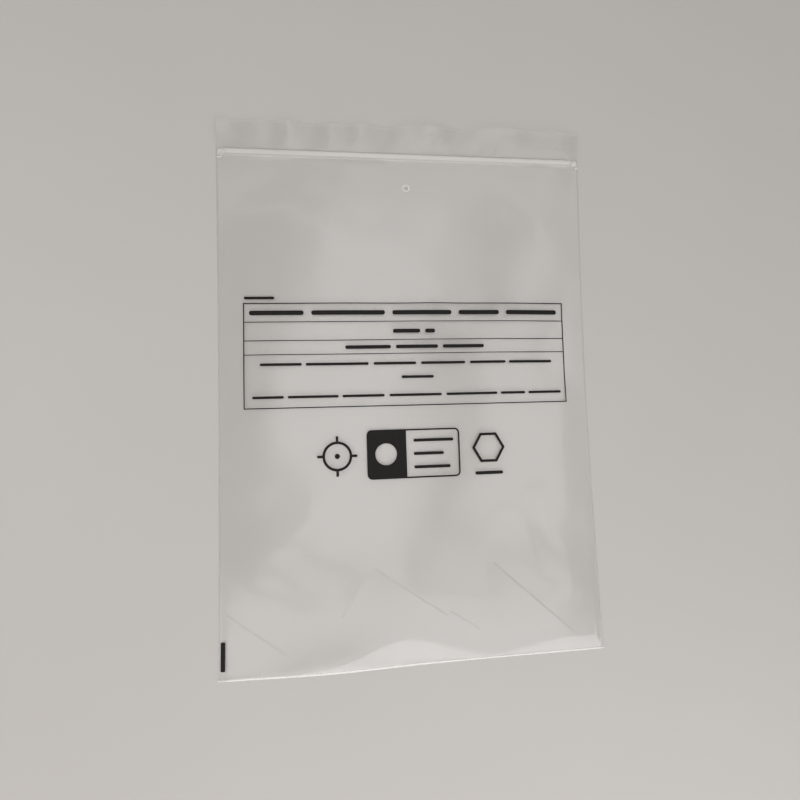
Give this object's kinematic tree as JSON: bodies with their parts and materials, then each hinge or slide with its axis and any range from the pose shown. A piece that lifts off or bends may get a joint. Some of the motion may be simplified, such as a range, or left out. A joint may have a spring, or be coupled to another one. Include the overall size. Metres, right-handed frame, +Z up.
{
  "type": "self-seal plastic bag",
  "caption": "Clear flat film bag with a press-to-close zip under two free lips, welded sides, a folded bottom edge and a round vent hole through both walls.",
  "frame": {"origin": "on the surface the bag lies on, under the middle of the bag", "axes": "+X across the bag, +Y from the bottom fold to the mouth, +Z up through the front wall"},
  "size_m": [0.3, 0.43, 0.007],
  "materials": {
    "film": "clear, slightly hazy polyethylene film",
    "zip": "translucent extruded polyethylene",
    "ink": "black print on the front wall"
  },
  "bodies": {
    "root": {"bag_film": "film", "zip_channel": "zip", "zip_rib": "zip"}
  },
  "joints": []
}
